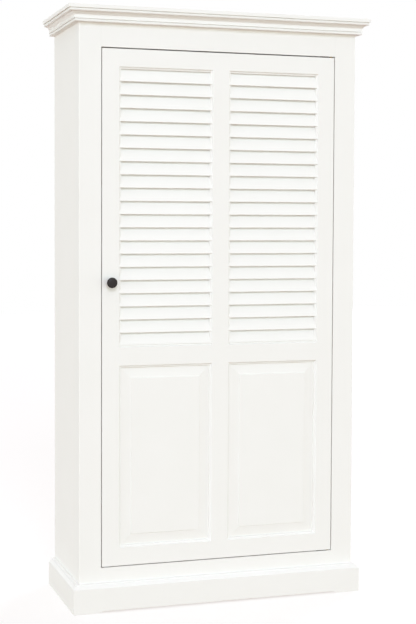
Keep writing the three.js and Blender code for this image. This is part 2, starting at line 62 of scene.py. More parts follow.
# From millimetres to the frame, whose origin lies under the middle of the footprint
TO_FRAME = Matrix.Translation((0, -(CASE_DEPTH - CROWN_PROJECTION) / 2000, 0)) @ Matrix.Scale(0.001, 4)

LEFT, RIGHT = Vector((-1, 0, 0)), Vector((1, 0, 0))
FRONT, BACK = Vector((0, -1, 0)), Vector((0, 1, 0))
UP, DOWN = Vector((0, 0, 1)), Vector((0, 0, -1))


# Materials

def shade(hex_colour):
    """An sRGB hex colour as the linear colour that a shader takes."""
    parts = [int(hex_colour[i:i + 2], 16) / 255 for i in (1, 3, 5)]
    return [p / 12.92 if p <= 0.04045 else ((p + 0.055) / 1.055) ** 2.4 for p in parts] + [1]


def add(tree, kind, settings=None, **links):
    """Adds a node. A setting is a property or, where there is none of that name, an input's value."""
    made = tree.nodes.new(kind)
    for key, value in (settings or {}).items():
        if isinstance(key, str) and hasattr(made, key):
            setattr(made, key, value)
        else:
            made.inputs[key].default_value = value
    for key, source in links.items():
        tree.links.new(made.inputs[int(key[1:]) if key[1:].isdigit() else key.replace("_", " ")], source)
    return made


def new_finish(name, settings):
    """A finish with its shader set, to be coloured and roughened by its maker."""
    finish = bpy.data.materials.new(name)
    finish.use_nodes = True
    tree = finish.node_tree
    shader = tree.nodes["Principled BSDF"]
    for key, value in settings.items():
        shader.inputs[key].default_value = value
    return finish, tree, shader


def colour(tree, shader, dark, light, mask):
    """Colours a finish from a dark to a light tone, by a mask."""
    tone = add(tree, "ShaderNodeMix", {"data_type": "RGBA", 6: shade(dark), 7: shade(light)}, i0=mask)
    tree.links.new(shader.inputs["Base Color"], tone.outputs[2])


def brushed_paint(name, along):
    """Satin water-based paint brushed on wood: off-white, with fine strokes along the member, which break up
    its sheen, and a slow drift in tone where the coat is thicker."""
    finish, tree, shader = new_finish(name, {"IOR": 1.5, "Roughness": 0.42})
    place = add(tree, "ShaderNodeTexCoord").outputs["Object"]
    stroke_width, stroke_length = 0.0014, 0.09
    stroke = [1 / stroke_width] * 3
    stroke[along] = 1 / stroke_length
    strokes = add(tree, "ShaderNodeTexNoise", {"Scale": 1.0, "Detail": 2.0, "Roughness": 0.6},
                  Vector=add(tree, "ShaderNodeMapping", {"Scale": stroke}, Vector=place).outputs[0])
    drift = add(tree, "ShaderNodeTexNoise", {"Scale": 1 / 0.14, "Detail": 2.0}, Vector=place)
    ripple = add(tree, "ShaderNodeTexNoise", {"Scale": 1 / 0.012, "Detail": 1.0}, Vector=place)
    colour(tree, shader, "#F4F3EF", "#F7F6F3", drift.outputs["Fac"])
    sheen = add(tree, "ShaderNodeMapRange", {"To Min": 0.36, "To Max": 0.5},
                Value=strokes.outputs["Fac"])
    fine = add(tree, "ShaderNodeBump", {"Strength": 0.35, "Distance": 0.00005},
               Height=strokes.outputs["Fac"])
    relief = add(tree, "ShaderNodeBump", {"Strength": 0.25, "Distance": 0.0001},
                 Height=ripple.outputs["Fac"], Normal=fine.outputs[0])
    tree.links.new(shader.inputs["Roughness"], sheen.outputs[0])
    tree.links.new(shader.inputs["Normal"], relief.outputs[0])
    return finish


def enamel():
    """Baked satin enamel on cast zinc: near-black, a little uneven, with a broad soft highlight."""
    finish, tree, shader = new_finish("black_enamel_on_cast_zinc", {"IOR": 1.42, "Roughness": 0.4})
    place = add(tree, "ShaderNodeTexCoord").outputs["Object"]
    cloud = add(tree, "ShaderNodeTexNoise", {"Scale": 1 / 0.004, "Detail": 3.0}, Vector=place)
    colour(tree, shader, "#1A1412", "#271E1B", cloud.outputs["Fac"])
    grain = add(tree, "ShaderNodeBump", {"Strength": 0.3, "Distance": 0.00008}, Height=cloud.outputs["Fac"])
    tree.links.new(shader.inputs["Normal"], grain.outputs[0])
    return finish


def metal(name, dark, light, rough):
    """Sheet or turned metal with a fine drawn grain, which spreads its highlight along x."""
    finish, tree, shader = new_finish(name, {"Metallic": 1.0, "Roughness": rough})
    place = add(tree, "ShaderNodeTexCoord").outputs["Object"]
    grain_length, grain_width = 0.02, 0.0004
    drawn = [1 / grain_length, 1 / grain_width, 1 / grain_width]
    grain = add(tree, "ShaderNodeTexNoise", {"Scale": 1.0, "Detail": 2.0},
                Vector=add(tree, "ShaderNodeMapping", {"Scale": drawn}, Vector=place).outputs[0])
    colour(tree, shader, dark, light, grain.outputs["Fac"])
    sheen = add(tree, "ShaderNodeMapRange", {"To Min": rough - 0.08, "To Max": rough + 0.1},
                Value=grain.outputs["Fac"])
    tree.links.new(shader.inputs["Roughness"], sheen.outputs[0])
    return finish


def moulded(name, dark, light, rough, pore):
    """Moulded or pressed stock with a fine eroded skin."""
    finish, tree, shader = new_finish(name, {"IOR": 1.5, "Roughness": rough})
    place = add(tree, "ShaderNodeTexCoord").outputs["Object"]
    skin = add(tree, "ShaderNodeTexNoise", {"Scale": 1 / pore, "Detail": 2.0}, Vector=place)
    colour(tree, shader, dark, light, skin.outputs["Fac"])
    relief = add(tree, "ShaderNodeBump", {"Strength": 0.3, "Distance": pore / 10},
                 Height=skin.outputs["Fac"])
    tree.links.new(shader.inputs["Normal"], relief.outputs[0])
    return finish


PAINT_ACROSS = brushed_paint("satin_paint_brushed_across", 0)
PAINT_DEEP = brushed_paint("satin_paint_brushed_front_to_back", 1)
PAINT_UPRIGHT = brushed_paint("satin_paint_brushed_upright", 2)
ENAMEL = enamel()
# Zinc plate gives steel a pale, slightly blue grey; the aged brass has gone a dull brownish yellow
ZINC_STEEL = metal("zinc_plated_steel", "#B4B7BA", "#D2D4D6", 0.32)
BRASS = metal("aged_satin_brass", "#7C6538", "#977D4C", 0.34)
WHITE_PLASTIC = moulded("white_abs_moulded", "#E6E4DC", "#EFEDE6", 0.5, 0.0006)
FERRITE = moulded("ferrite_pressed", "#262524", "#34322F", 0.65, 0.0005)


# Meshes, drawn in millimetres

def arc(middle, radii, start, end, steps=8):
    """Points of an outline round a middle, from one angle in degrees to another."""
    turns = [math.radians(start + (end - start) * i / steps) for i in range(steps + 1)]
    return [(middle[0] + radii[0] * math.cos(t), middle[1] + radii[1] * math.sin(t)) for t in turns]


def draw_sweep(bm, outline, length):
    """Sweeps an outline in x and y along z, and returns the points of its near and far end."""
    near = [bm.verts.new((x, y, 0)) for x, y in outline]
    rim = [bm.edges.new(pair) for pair in zip(near, near[1:] + near[:1])]
    section = bmesh.ops.edgeloop_fill(bm, edges=rim)["faces"]
    swept = bmesh.ops.extrude_face_region(bm, geom=section)["geom"]
    far = [part for part in swept if isinstance(part, bmesh.types.BMVert)]
    bmesh.ops.translate(bm, verts=far, vec=(0, 0, length))
    return near, far


def draw_moulding(bm, outline, length, mitres, start, out, along):
    """A length of moulding: its outline runs out from the surface and along it. A mitre of 1 lengthens an
    end by what stands out, -1 shortens it, 0 leaves it square."""
    near, far = draw_sweep(bm, outline, length)
    for vert in near:
        vert.co.z -= mitres[0] * vert.co.x
    for vert in far:
        vert.co.z += mitres[1] * vert.co.x
    place = Matrix((out, along, out.cross(along))).transposed().to_4x4()
    place.translation = start
    bmesh.ops.transform(bm, matrix=place, verts=near + far)


def draw_block(bm, x, y, z):
    """A block between two places on each axis."""
    size = Matrix.Diagonal((x[1] - x[0], y[1] - y[0], z[1] - z[0], 1))
    middle = Matrix.Translation(((x[0] + x[1]) / 2, (y[0] + y[1]) / 2, (z[0] + z[1]) / 2))
    bmesh.ops.create_cube(bm, size=1, matrix=middle @ size)


# An edge that turns more than this is an arris
SHARP = 0.6


def ease(bm, edges, width, segments=2):
    """Takes the sharpness off arrises, as sanding and paint do."""
    bmesh.ops.bevel(bm, geom=edges, offset=width, offset_type="OFFSET", affect="EDGES", segments=segments,
                    profile=0.5, material=-1, clamp_overlap=True)


def anywhere(co):
    """The test that every point passes."""
    return True


def arrises(bm, test=anywhere, shortest=30):
    """The long sharp edges whose two ends both pass the test."""
    return [e for e in bm.edges if len(e.link_faces) == 2 and e.calc_face_angle() > SHARP
            and e.calc_length() > shortest and all(test(v.co) for v in e.verts)]


def node_copy(node):
    """A merged copy of a node's mesh, in millimetres."""
    bm = bmesh.new()
    bm.from_mesh(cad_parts[node].data)
    bmesh.ops.transform(bm, matrix=TO_FRAME.inverted(), verts=bm.verts)
    bmesh.ops.remove_doubles(bm, verts=bm.verts, dist=0.02)
    bmesh.ops.dissolve_limit(bm, angle_limit=math.radians(1), verts=bm.verts, edges=bm.edges)
    return bm


def to_mesh(name, bm):
    """Ends the drawing of a mesh."""
    mesh = bpy.data.meshes.new(name)
    bm.to_mesh(mesh)
    bm.free()
    return mesh


def to_scene(name, data):
    """Puts a mesh, a lamp or a camera in the scene."""
    thing = bpy.data.objects.new(name, data)
    bpy.context.scene.collection.objects.link(thing)
    return thing


# A face wider than this stays flat to the eye, and an edge that turns more than the crease stays sharp
BROAD = 3.2
CREASE = math.radians(35)


def add_piece(name, bm, finish, body, slot, *stands_for):
    """Turns a mesh into a named piece with its finish, the body that carries it and the nodes it replaces."""
    bmesh.ops.recalc_face_normals(bm, faces=bm.faces)
    broad = set()
    for face in bm.faces:
        face.smooth = True
        if face.calc_area() > BROAD * max(edge.calc_length() for edge in face.edges):
            broad.add(face)
    for edge in bm.edges:
        faces = edge.link_faces
        edge.smooth = (len(faces) == 2 and edge.calc_face_angle() < CREASE
                       and not broad.intersection(faces))
    bmesh.ops.transform(bm, matrix=TO_FRAME, verts=bm.verts)
    mesh = to_mesh(name, bm)
    mesh.materials.append(finish)
    piece = to_scene(name, mesh)
    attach(piece, body)
    if stands_for:
        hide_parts(*stands_for)


# Case: boards with their arrises just eased, and the corners of the face frame eased a little more

def add_board(node, finish, width=0.5, test=anywhere):
    """A board of the case with the arrises that pass the test eased."""
    bm = node_copy(node)
    ease(bm, arrises(bm, test), width)
    add_piece(node + "_eased", bm, finish, "case", "painted_wood", node)


def add_case():
    """Sides, face frame, top, bottom, back, foot rail and shelves."""
    for side in ("left", "right"):
        add_board(f"side_panel_{side}", PAINT_UPRIGHT, 0.5, lambda co: co.y > FACE_FRAME + 1)
        bm = node_copy(f"face_stile_{side}")
        ease(bm, arrises(bm, lambda co: co.y < 1 and abs(co.x) > CASE_HALF - 1), 1.6, 4)
        ease(bm, arrises(bm, lambda co: co.y < 1 and abs(co.x) < OPENING_HALF + 1), 0.5)
        add_piece(f"face_stile_{side}_eased", bm, PAINT_UPRIGHT, "case", "painted_wood",
                  f"face_stile_{side}")
    add_board("face_rail_top", PAINT_ACROSS, 0.5, lambda co: co.y < 1 and co.z < OPENING[1] + 1)
    add_board("face_rail_bottom", PAINT_ACROSS, 0.5, lambda co: co.y < 1 and co.z > OPENING[0] - 1)
    for node in ("top_panel", "bottom_panel", "rear_foot_rail"):
        add_board(node, PAINT_ACROSS)
    add_board("back_panel", PAINT_UPRIGHT, 0.4)
    for number in range(1, 5):
        add_board(f"shelf_{number}", PAINT_ACROSS, 1.0)


def crown_outline():
    """From the case outwards, bottom to top: soffit, flat bead, groove, hollow fascia, splay, ovolo, quirk
    and fillet."""
    return [(0, 2), (15.6, 3), *arc((16.6, 4.4), (1.6, 1.4), 250, 360, 4), (18.4, 7),
            *arc((16.8, 9), (1.6, 1.6), 0, 80, 4), (15.4, 10.9), (15.2, 11.9), (19.6, 12.3), (20, 12.9),
            (19.3, 14.8), (18.8, 17.5), (18.6, 21), (18.8, 24.2), (19.6, 25.2), (27, 33), (28.4, 33.6),
            (32.5, 33.9), *arc((33.2, 37.4), (4.2, 3.4), 275, 360, 5), (37.5, 40.4),
            *arc((35.6, 40.6), (1.9, 1.9), 0, 75, 4), (34.8, 42.7), (34.6, 43.8), (40.6, 43.8), (41, 44.2),
            (41, 55.1), (40.6, CROWN_HEIGHT), (0, CROWN_HEIGHT)]


def plinth_outline():
    """Face, splayed top edge, a narrow quirk and the bead that meets the case."""
    return [(0, 0), (21.5, 0), (22, 0.5), (22, 82.1), (21.7, 82.7), (12.9, 91.2), (12.5, 91.4), (11.4, 91.4),
            (10.9, 90.9), (10.4, 91.6), *arc((5.4, 91.6), (4.9, 4.9), 4, 90), (0, 96.5)]


def cut_relief(bm):
    """The shallow relief between the feet of the front plinth board, with a slope at each end."""
    foot, slope, rise = 423, 12, 5.5
    for x in (-foot, -foot + slope, foot - slope, foot):
        whole = [*bm.verts, *bm.edges, *bm.faces]
        bmesh.ops.bisect_plane(bm, geom=whole, plane_co=(x, 0, 0), plane_no=(1, 0, 0), dist=0.001)
    for vert in bm.verts:
        if abs(vert.co.x) < foot - slope + 1 and vert.co.z < rise:
            vert.co.z += rise


def add_mouldings():
    """Crown and plinth, each a front run and two returns, mitred at the front corners."""
    for name, outline, bottom in (("crown", crown_outline(), HEIGHT - CROWN_HEIGHT),
                                  ("plinth", plinth_outline(), 0)):
        bm = bmesh.new()
        draw_moulding(bm, outline, 2 * CASE_HALF, (1, 1), Vector((CASE_HALF, 0, bottom)), FRONT, UP)
        if name == "plinth":
            cut_relief(bm)
        add_piece(f"{name}_front_run", bm, PAINT_ACROSS, "case", "painted_wood", f"{name}_front")
        bm = bmesh.new()
        draw_moulding(bm, outline, CASE_DEPTH, (1, 0), Vector((-CASE_HALF, 0, bottom)), LEFT, UP)
        add_piece(f"{name}_left_return", bm, PAINT_DEEP, "case", "painted_wood", f"{name}_left")
        bm = bmesh.new()
        draw_moulding(bm, outline, CASE_DEPTH, (0, 1), Vector((CASE_HALF, CASE_DEPTH, bottom)), RIGHT, UP)
        add_piece(f"{name}_right_return", bm, PAINT_DEEP, "case", "painted_wood", f"{name}_right")


# Door frame: flat members with a moulded inner edge, mitred in the corners of each opening

OPENINGS = {"left": (-STILE_EDGE, -MULLION_HALF), "right": (MULLION_HALF, STILE_EDGE)}
# The moulded edge's narrow flat and the reach of its round; how deep the round ends, and the edge's back
FLAT_DEPTH, ROUND_REACH = 4.5, 2.2
LOUVRE_EDGE, PANEL_EDGE = (9, 9.3), (10.4, 10.6)
LIP_FRONT, LIP_EASE = 14, 0.6


def moulded_edge(depth):
    """Out from the flat into the opening: a steep chamfer, a narrow flat and a round, down to a depth."""
    return [(0, 0), (0.2, -0.2), (2.7, -4.2), (3, -4.4), (5.7, -FLAT_DEPTH),
            *arc((EDGE_REACH - ROUND_REACH, -depth), (ROUND_REACH, depth - FLAT_DEPTH), 88, 0)]


def draw_lip(bm, outline, x, z, side):
    """A mitred length of lip along one side of an opening."""
    across, upright = x[1] - x[0], z[1] - z[0]
    runs = {
        "bottom": (across, (x[0], z[0]), UP),
        "top": (across, (x[1], z[1]), DOWN),
        "right": (upright, (x[1], z[0]), LEFT),
        "left": (upright, (x[0], z[1]), RIGHT),
    }
    length, (start_x, start_z), out = runs[side]
    draw_moulding(bm, outline, length, (-1, -1), Vector((start_x, 0, start_z)), out, FRONT)


def draw_edges(bm, bank, zone, side):
    """The moulded edge and, round a panel, the square lip that closes its groove from behind."""
    x = OPENINGS[bank]
    depth, back = LOUVRE_EDGE if zone is LOUVRE_ZONE else PANEL_EDGE
    draw_lip(bm, moulded_edge(depth) + [(EDGE_REACH, -back), (0, -back)], x, zone, side)
    if zone is PANEL_ZONE:
        draw_lip(bm, [(0, -LIP_FRONT), (EDGE_REACH, -LIP_FRONT), (EDGE_REACH, LIP_EASE - DOOR_THICK),
                      (EDGE_REACH - LIP_EASE, -DOOR_THICK), (0, -DOOR_THICK)], x, zone, side)


def add_member(node, x, z, finish, edges, test):
    """A stile, rail or mullion of the door: its board, eased along its outer arrises, and its moulded
    edges."""
    bm = bmesh.new()
    draw_block(bm, x, (0, DOOR_THICK), z)
    ease(bm, arrises(bm, test), 0.8, 3)
    for bank, zone, side in edges:
        draw_edges(bm, bank, zone, side)
    if node == "door_stile_right":
        for end, toward in ((DOOR[1], -1), (DOOR[0], 1)):
            cut_leaf_pocket(bm, end, toward)
    add_piece(node + "_member", bm, finish, "door", "painted_wood", node)


def cut_leaf_pocket(bm, end, toward):
    """Lets the end of the stile in for a hinge leaf: the pocket's outline is cut in, then sunk."""
    span_x, span_y, deep = (361.7, 408.3), (1.7, 12.3), 2.8
    for axis, places in ((0, span_x), (1, span_y)):
        for place in places:
            point, normal = [0, 0, 0], [0, 0, 0]
            point[axis], normal[axis] = place, 1
            cap = [f for f in bm.faces if all(abs(v.co.z - end) < 0.01 for v in f.verts)]
            parts = set(cap) | {e for f in cap for e in f.edges} | {v for f in cap for v in f.verts}
            bmesh.ops.bisect_plane(bm, geom=list(parts), plane_co=point, plane_no=normal, dist=0.001)
    floor = [f for f in bm.faces if abs(f.calc_center_median().z - end) < 0.01
             and span_x[0] < f.calc_center_median().x < span_x[1]
             and span_y[0] < f.calc_center_median().y < span_y[1]]
    sunk = bmesh.ops.extrude_discrete_faces(bm, faces=floor)["faces"]
    bmesh.ops.translate(bm, verts=[v for f in sunk for v in f.verts], vec=(0, 0, deep * toward))


def add_door_frame():
    """Two stiles, three rails and two mullions, each with the moulded edges of the openings it borders."""
    outer = lambda co: abs(co.x) > DOOR_HALF - 1
    for side, sign in (("left", -1), ("right", 1)):
        x = sorted((sign * STILE_EDGE, sign * DOOR_HALF))
        add_member(f"door_stile_{side}", x, DOOR, PAINT_UPRIGHT,
                   [(side, LOUVRE_ZONE, side), (side, PANEL_ZONE, side)], outer)
    between = (-STILE_EDGE, STILE_EDGE)
    add_member("door_rail_top", between, (LOUVRE_ZONE[1], DOOR[1]), PAINT_ACROSS,
               [("left", LOUVRE_ZONE, "top"), ("right", LOUVRE_ZONE, "top")],
               lambda co: co.z > DOOR[1] - 1)
    add_member("door_rail_middle", between, (PANEL_ZONE[1], LOUVRE_ZONE[0]), PAINT_ACROSS,
               [("left", LOUVRE_ZONE, "bottom"), ("right", LOUVRE_ZONE, "bottom"),
                ("left", PANEL_ZONE, "top"), ("right", PANEL_ZONE, "top")], lambda co: False)
    add_member("door_rail_bottom", between, (DOOR[0], PANEL_ZONE[0]), PAINT_ACROSS,
               [("left", PANEL_ZONE, "bottom"), ("right", PANEL_ZONE, "bottom")],
               lambda co: co.z < DOOR[0] + 1)
    for part, zone in (("upper", LOUVRE_ZONE), ("lower", PANEL_ZONE)):
        add_member(f"door_mullion_{part}", (-MULLION_HALF, MULLION_HALF), zone, PAINT_UPRIGHT,
                   [("left", zone, "right"), ("right", zone, "left")], lambda co: False)


# Raised and fielded panels

def add_panel(side):
    """A board whose face rises in a bevel from its tongue, and on a low rounded shoulder to its field."""
    x, z = OPENINGS[side], PANEL_ZONE
    play, in_groove = 0.2, (10.7, 13.7)
    tongue, bevel, bevel_rise, shoulder, shoulder_rise = 7.8, 34, 4.3, 1.3, 2.3
    bm = bmesh.new()
    draw_block(bm, (x[0] + play, x[1] - play), in_groove, (z[0] + play, z[1] - play))
    face = [f for f in bm.faces if f.normal.y < -0.9]
    bmesh.ops.inset_individual(bm, faces=face, thickness=tongue, depth=0, use_even_offset=True)
    bmesh.ops.inset_individual(bm, faces=face, thickness=bevel, depth=0, use_even_offset=True)
    bmesh.ops.translate(bm, verts=face[0].verts, vec=(0, -bevel_rise, 0))
    bmesh.ops.inset_individual(bm, faces=face, thickness=shoulder, depth=shoulder_rise,
                               use_even_offset=True)
    ease(bm, list(face[0].edges), 0.4, 3)
    add_piece(f"panel_{side}_fielded", bm, PAINT_UPRIGHT, "door", "painted_wood", f"panel_{side}")


# Louvre banks

SLATS = 21
SLAT_THICK = 6
SLAT_TILT = math.radians(16)
SLAT_LAP = 6
SLAT_SETBACK = 1
SLAT_EDGE = 1.2
# How far the lowest slat reaches down behind the foot of the opening, and the highest up behind its head
FOOT_SINK, HEAD_RISE = 4.5, 2.8
STRIP_WIDTH, STRIP_FACE = 7.5, 9.6


def scribe(depth):
    """How far in from the flat the moulded edge reaches at a depth, which a slat's end is cut to follow."""
    if depth <= 4.2:
        return 0.1 + 0.62 * max(depth - 0.2, 0)
    if depth <= FLAT_DEPTH:
        return 2.6 + 10 * (depth - 4.2)
    end = LOUVRE_EDGE[0]
    if depth <= end:
        return 5.6 + ROUND_REACH * math.sqrt(max(1 - ((end - depth) / (end - FLAT_DEPTH)) ** 2, 0))
    return EDGE_REACH - 0.2


def slat_outline(length):
    """Thickness and length of a slat with round edges, with points up its face for the scribed ends."""
    low, high, round_edge = SLAT_EDGE, SLAT_THICK - SLAT_EDGE, (SLAT_EDGE, SLAT_EDGE)
    top = length - SLAT_EDGE
    face = [(0, height) for height in (length - 6, 29, 28, 25.5, 22, 18.5, 15, 12.7, 11.6, 3)]
    foot = [(across, 0) for across in (1.9, 2.6, 2.95, 3.15, 3.35, 3.8, 4.3)]
    return [*arc((low, low), round_edge, 180, 270, 4), *foot,
            *arc((high, low), round_edge, 270, 360, 4),
            *arc((high, top), round_edge, 0, 90, 4), *arc((low, top), round_edge, 90, 180, 4), *face]


def add_louvre_bank(side):
    """Slats tilted and scribed to the moulded edge, and the two upright strips that house them."""
    x, z = OPENINGS[side], LOUVRE_ZONE
    foot, head = z[0] + EDGE_REACH - FOOT_SINK, z[1] - EDGE_REACH + HEAD_RISE
    pitch = (head - foot) / SLATS
    lift = SLAT_EDGE * (1 - math.cos(SLAT_TILT)) + (SLAT_THICK - SLAT_EDGE) * math.sin(SLAT_TILT)
    outline = slat_outline((pitch + SLAT_LAP) / math.cos(SLAT_TILT))
    turn = Matrix.Rotation(-SLAT_TILT, 4, "X") @ Matrix((BACK, UP, RIGHT)).transposed().to_4x4()
    bm = bmesh.new()
    for number in range(SLATS):
        near, far = draw_sweep(bm, outline, x[1] - x[0])
        ends = [f for f in (*near[0].link_faces, *far[0].link_faces) if len(f.verts) > 4]
        middles = bmesh.ops.poke(bm, faces=ends)["verts"]
        place = Matrix.Translation((x[0], SLAT_SETBACK, foot + number * pitch + lift)) @ turn
        bmesh.ops.transform(bm, matrix=place, verts=near + far + middles)
        for vert in near + far + middles:
            toward = 1 if vert.co.x < (x[0] + x[1]) / 2 else -1
            vert.co.x += toward * scribe(vert.co.y)
    whole = [*bm.verts, *bm.edges, *bm.faces]
    cut_height = z[0] + EDGE_REACH - 0.1
    cut = bmesh.ops.bisect_plane(bm, geom=whole, plane_co=(0, 0, cut_height), plane_no=DOWN,
                                 clear_outer=True, dist=0.001)
    bmesh.ops.holes_fill(bm, edges=[e for e in cut["geom_cut"] if isinstance(e, bmesh.types.BMEdge)])
    add_piece(f"louvre_slats_{side}", bm, PAINT_ACROSS, "door", "painted_wood", f"louvre_bank_{side}")
    bm = bmesh.new()
    for low in (x[0] + FIT, x[1] - FIT - STRIP_WIDTH):
        draw_block(bm, (low, low + STRIP_WIDTH), (STRIP_FACE, DOOR_THICK), (z[0] + FIT, z[1] - FIT))
    ease(bm, arrises(bm, lambda co: co.y > DOOR_THICK - 1), 0.5)
    add_piece(f"louvre_strips_{side}", bm, PAINT_UPRIGHT, "door", "painted_wood", f"louvre_bank_{side}")


# Knob and hardware

KNOB_X, KNOB_Z = -383, 1096.5


def draw_at_knob(bm, outline, steps=64):
    """Spins an outline of radius and height, and sets it in the knob's place, pointing out of the door."""
    points = [bm.verts.new((radius, 0, height)) for radius, height in outline]
    edges = [bm.edges.new(pair) for pair in zip(points, points[1:])]
    bmesh.ops.spin(bm, geom=points + edges, cent=(0, 0, 0), axis=(0, 0, 1), angle=math.tau, steps=steps,
                   use_merge=True)
    bmesh.ops.remove_doubles(bm, verts=bm.verts, dist=0.001)
    bmesh.ops.rotate(bm, verts=bm.verts, cent=(0, 0, 0), matrix=Matrix.Rotation(math.pi / 2, 3, "X"))
    bmesh.ops.translate(bm, verts=bm.verts, vec=(KNOB_X, 0, KNOB_Z))


def add_knob():
    """A turned mushroom knob: a short waisted neck, a bell under the rim, and a low dome inside a groove."""
    bm = bmesh.new()
    outline = [(0, 14), (2.3, 14), (2.3, 0), (7.6, 0), (8, 0.5), *arc((8, 6), (2.2, 5.2), 250, 180, 5),
               (5.8, 10), *arc((5.8, 20), (11, 8.2), -82, -10), (17.1, 19.6), (17.4, 20.4), (17.5, 21.6),
               *arc((16, 22.4), (1.5, 1.9), 0, 80, 5), (15.4, 24.4), (14.9, 24.3), (14.4, 24.5),
               *arc((0, 24.6), (13.9, 2.4), 3, 84, 9), (0, 27)]
    draw_at_knob(bm, outline)
    add_piece("knob_turned", bm, ENAMEL, "door", "black_enamel", "knob")


def draw_screw(bm, place, out, head, rise=0.1, depth=1.2, taper=0.55):
    """A cross-head screw: a recess in a crown that rises a little from its edge, and below the edge a skirt,
    which a taper under 1 narrows as for a countersunk screw."""
    piece = bmesh.new()
    radius, arm, half, recess = head / 2, head * 0.3, head * 0.075, 0.8
    cross = [(arm, -half), (arm, half), (half, half), (half, arm), (-half, arm), (-half, half),
             (-arm, half), (-arm, -half), (-half, -half), (-half, -arm), (half, -arm), (half, -half)]
    near, far = draw_sweep(piece, cross, recess)
    bmesh.ops.translate(piece, verts=piece.verts, vec=(0, 0, rise - recess))
    mouth = [f for f in piece.faces if all(v in far for v in f.verts)]
    rim = list(mouth[0].edges)
    bmesh.ops.delete(piece, geom=mouth, context="FACES_ONLY")
    bmesh.ops.subdivide_edges(piece, edges=rim, cuts=1)
    rim = [e for e in piece.edges if e.is_boundary]
    ring = bmesh.ops.create_circle(piece, segments=24, radius=radius)["verts"]
    edge = [e for e in piece.edges if all(v in ring for v in e.verts)]
    bmesh.ops.bridge_loops(piece, edges=rim + edge)
    skirt = bmesh.ops.extrude_edge_only(piece, edges=edge)["geom"]
    foot = [part for part in skirt if isinstance(part, bmesh.types.BMVert)]
    bmesh.ops.scale(piece, verts=foot, vec=(taper, taper, 1))
    bmesh.ops.translate(piece, verts=foot, vec=(0, 0, -depth))
    bmesh.ops.holes_fill(piece, edges=[e for e in piece.edges if e.is_boundary])
    turn = UP.rotation_difference(out).to_matrix().to_4x4()
    bmesh.ops.transform(piece, matrix=Matrix.Translation(place) @ turn, verts=piece.verts)
    mesh = to_mesh("screw", piece)
    bm.from_mesh(mesh)
    bpy.data.meshes.remove(mesh)


def add_knob_bolt():
    """The bolt that holds the knob: a plain shank and a low pan head on the back of the stile."""
    bm = bmesh.new()
    foot, tip = -DOOR_THICK - 0.2, 13.7
    draw_at_knob(bm, [(0, foot), (2, foot), (2, 13.3), (1.6, tip), (0, tip)], 24)
    draw_screw(bm, (KNOB_X, DOOR_THICK + 1.5, KNOB_Z), BACK, 9, rise=0.9, depth=1.5, taper=1)
    add_piece("knob_bolt_pan_head", bm, ZINC_STEEL, "door", "steel", "knob_bolt")


def add_hinges():
    """Knife hinges: flat leaves with eased edges, each held by two countersunk screws."""
    screws_x, screws_y = (369, 386), 7
    for end, rail_face, door_face, toward_rail in (("top", OPENING[1], DOOR[1], UP),
                                                   ("bottom", OPENING[0], DOOR[0], DOWN)):
        for leaf, face, out, body in (("frame_leaf", rail_face, -toward_rail, "case"),
                                      ("door_leaf", door_face, toward_rail, "door")):
            bm = node_copy(f"hinge_{end}_{leaf}")
            ease(bm, arrises(bm, shortest=8), 0.3)
            for x in screws_x:
                draw_screw(bm, (x, screws_y, face), out, 5)
            add_piece(f"hinge_{end}_{leaf}_screwed", bm, BRASS, body, "hinge_brass", f"hinge_{end}_{leaf}")


def add_catch():
    """Magnetic catch: a moulded housing and a pressed strike plate, each with two screws."""
    middle = -STILE_EDGE + 60
    housing_back, strike_back, off_rail = FACE_FRAME + 19, DOOR_THICK + 1.5, 14
    bm = node_copy("catch_housing")
    ease(bm, arrises(bm, shortest=8), 0.8)
    for x in (middle - 11, middle + 11):
        draw_screw(bm, (x, housing_back, OPENING[1] + off_rail), BACK, 6, rise=0)
    add_piece("catch_housing_moulded", bm, WHITE_PLASTIC, "case", "white_plastic", "catch_housing")
    bm = node_copy("catch_strike")
    ease(bm, arrises(bm, shortest=8), 0.4)
    for x in (middle - 10, middle + 10):
        draw_screw(bm, (x, strike_back, OPENING[1] - off_rail), BACK, 5, depth=1.0)
    add_piece("catch_strike_pressed", bm, ZINC_STEEL, "door", "steel", "catch_strike")


def add_shelf_supports():
    """Shelf supports: a tab with eased edges, a collar against the side and a shank in its hole."""
    collar_x, collar_radius, collar_thick = 471.5, 4, 0.8
    for node in sorted(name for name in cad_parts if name.startswith("shelf_support")):
        bm = node_copy(node)
        ease(bm, arrises(bm, shortest=8), 0.6)
        low = [min(v.co[axis] for v in bm.verts) for axis in range(3)]
        high = [max(v.co[axis] for v in bm.verts) for axis in range(3)]
        middle = [(a + b) / 2 for a, b in zip(low, high)]
        middle[0] = math.copysign(collar_x, low[0])
        collar = bmesh.ops.create_cone(bm, cap_ends=True, segments=24, radius1=collar_radius,
                                       radius2=collar_radius, depth=collar_thick)
        bmesh.ops.rotate(bm, verts=collar["verts"], cent=(0, 0, 0),
                         matrix=Matrix.Rotation(math.pi / 2, 3, "Y"))
        bmesh.ops.translate(bm, verts=collar["verts"], vec=middle)
        add_piece(node + "_collared", bm, ZINC_STEEL, "case", "steel", node)


def add_hardware():
    """The fittings that are drawn, then a finish for the magnet and the washers, which are plain turned or
    pressed shapes already."""
    add_knob_bolt()
    add_hinges()
    add_catch()
    add_shelf_supports()
    for node, finish in (("catch_magnet", FERRITE), ("hinge_top_washer", BRASS),
                         ("hinge_bottom_washer", BRASS)):
        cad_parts[node].data.materials.clear()
        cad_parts[node].data.materials.append(finish)


add_case()
add_mouldings()
add_door_frame()
add_panel("left")
add_panel("right")
add_louvre_bank("left")
add_louvre_bank("right")
add_knob()
add_hardware()


# Floor, surroundings, lamps and camera, in metres

FLOOR_HALF = 14
LAMP_AIM = Vector((0, 0, 1.0))
LAMP_SIZE = 6
